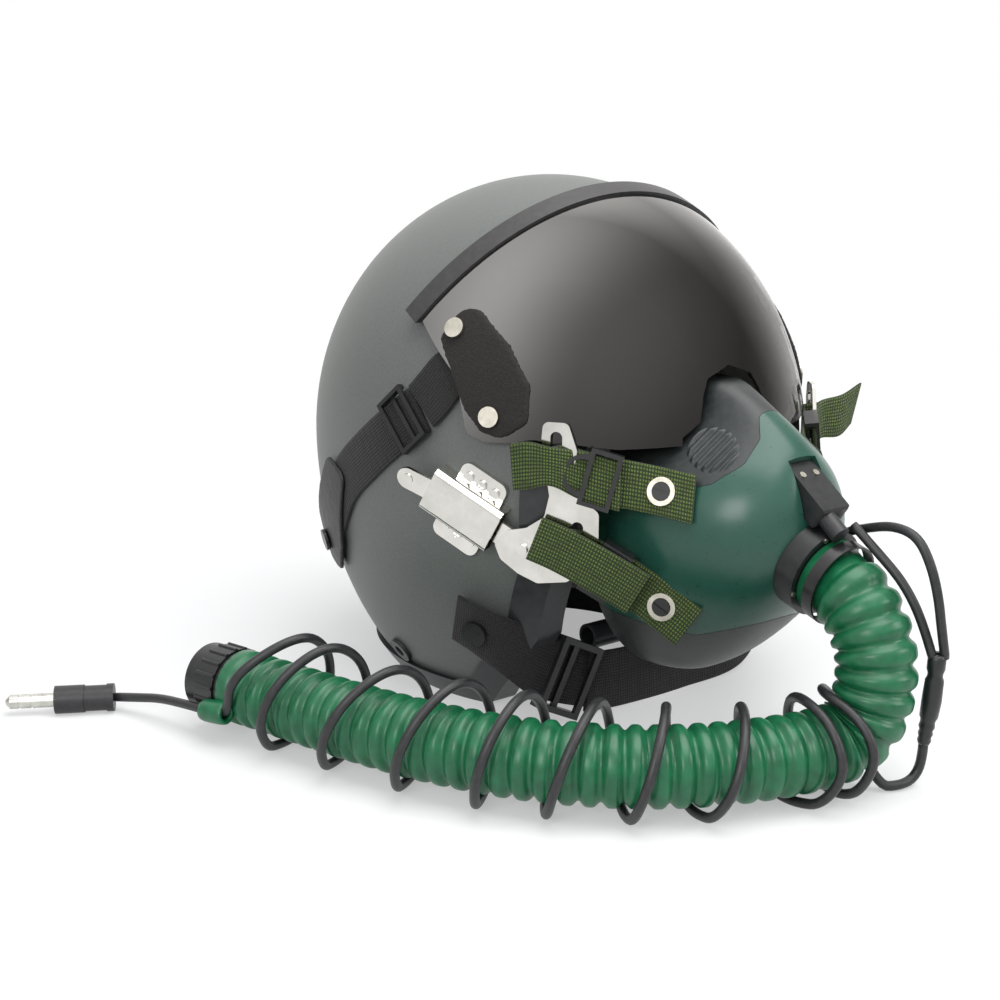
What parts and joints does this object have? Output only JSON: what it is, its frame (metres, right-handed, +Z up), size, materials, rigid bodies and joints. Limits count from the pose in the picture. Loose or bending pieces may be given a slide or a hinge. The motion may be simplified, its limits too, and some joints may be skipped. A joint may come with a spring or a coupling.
{
  "type": "flight helmet with oxygen mask",
  "caption": "Pilot flight helmet with tilting visor, bayonet-mounted oxygen mask, ribbed breathing hose and wound comm cord.",
  "frame": {"origin": "on the surface the helmet stands on, under the middle of the helmet and mask without the hose and cord", "axes": "the face looks along -Y, the wearer's left is +X, up is +Z"},
  "size_m": [0.4037, 0.3886, 0.261],
  "materials": {
    "shell_paint": "matt grey sprayed finish, slightly speckled",
    "edge_rubber": "semi-gloss moulded rubber",
    "foam": "expanded foam",
    "pad_leather": "black soft leather",
    "ear_plastic": "moulded black plastic",
    "visor_glass": "smoked mirror polycarbonate",
    "visor_trim": "soft grey rubber channel",
    "flock": "black flocked pile",
    "black_webbing": "black woven webbing and elastic",
    "olive_webbing": "olive woven webbing",
    "black_leather": "black leather",
    "nickel": "bright nickel plate",
    "satin_metal": "satin fastener metal",
    "black_metal": "black enamelled metal",
    "mask_plastic": "dark green moulded plastic, fine matt",
    "mask_rubber": "dark grey silicone rubber",
    "hose_rubber": "green moulded rubber, slightly glossy",
    "black_plastic": "black moulded plastic",
    "valve_rubber": "pale silicone",
    "cord_rubber": "black cord sheath"
  },
  "bodies": {
    "root": {"outer_shell": "shell_paint", "edge_roll": "edge_rubber", "impact_liner": "foam", "brow_pad": "pad_leather", "crown_pad": "pad_leather", "nape_pad": "pad_leather", "ear_cups": "ear_plastic", "ear_seals": "pad_leather", "earphones": "black_plastic", "receiver_bases": "nickel", "receiver_covers": "nickel", "receiver_screws": "nickel", "receiver_rivets": "nickel", "latch_pins": "nickel", "visor_straps": "black_webbing", "strap_adjusters": "black_metal", "rear_keepers": "black_leather", "keeper_snaps": "black_metal", "chin_strap_right": "black_webbing", "chin_strap_left": "black_webbing", "chin_buckle": "black_metal", "chin_roll": "mask_rubber", "chin_screws": "black_metal", "rim_grommets": "edge_rubber", "hose_connector": "black_plastic", "plug_body": "cord_rubber", "plug_pin": "satin_metal"},
    "visor": {"visor_lens": "visor_glass", "visor_trim": "visor_trim", "visor_patches": "flock", "visor_snaps": "satin_metal"},
    "mask": {"mask_shell": "mask_plastic", "face_form": "mask_rubber", "hose_port": "black_plastic", "port_screws": "satin_metal", "mic_housing": "black_plastic", "microphone": "black_plastic", "mic_boot": "cord_rubber", "bayonets": "nickel", "upper_strap_right": "olive_webbing", "upper_strap_left": "olive_webbing", "lower_strap_right": "olive_webbing", "lower_strap_left": "olive_webbing", "strap_buckles": "black_metal", "strap_screws": "black_metal", "strap_grommets": "satin_metal", "hose": "hose_rubber", "hose_clamp": "black_metal", "mic_lead": "cord_rubber", "second_lead": "cord_rubber", "cord_junction": "cord_rubber", "cord_lead": "cord_rubber", "cord_winding": "cord_rubber", "cord_tail": "cord_rubber"},
    "latch_right": {"latch_lever_right": "nickel"},
    "latch_left": {"latch_lever_left": "nickel"},
    "inhalation_valve": {"inhalation_valve": "valve_rubber"},
    "exhalation_valve": {"exhalation_valve": "valve_rubber"},
    "hose_coupling": {"hose_coupling": "black_plastic"}
  },
  "joints": [
    {"name": "visor_hinge", "type": "hinge", "parent": "root", "child": "visor", "pos_m": [0, 0.03878, 0.125], "axis": [-1, 0, 0], "range_deg": [0, 55]},
    {"name": "mask_slide", "type": "slide", "parent": "root", "child": "mask", "axis": [0, -0.891, -0.454], "range_m": [0, 0.03]},
    {"name": "latch_right_tilt", "type": "hinge", "parent": "root", "child": "latch_right", "pos_m": [-0.1122, -0.02481, 0.11802], "axis": [0.1811, -0.4449, 0.8771], "range_deg": [0, 4], "stiffness_Nm_per_rad": 0.15, "springref_deg": -11.46},
    {"name": "latch_left_tilt", "type": "hinge", "parent": "root", "child": "latch_left", "pos_m": [0.1122, -0.02481, 0.11802], "axis": [0.1811, 0.4449, -0.8771], "range_deg": [0, 4], "stiffness_Nm_per_rad": 0.15, "springref_deg": -11.46},
    {"name": "inhalation_lift", "type": "slide", "parent": "mask", "child": "inhalation_valve", "axis": [0, 0.9613, 0.2756], "range_m": [0, 0.0015], "stiffness_N_per_m": 30, "springref_m": -0.0005},
    {"name": "exhalation_lift", "type": "slide", "parent": "mask", "child": "exhalation_valve", "axis": [0, 0.9613, 0.2756], "range_m": [0, 0.0015], "stiffness_N_per_m": 30, "springref_m": -0.0005},
    {"name": "coupling_spin", "type": "hinge", "parent": "root", "child": "hose_coupling", "pos_m": [-0.1904, 0.03948, 0.023], "axis": [-0.269, 0.9631, 0], "continuous": true}
  ]
}
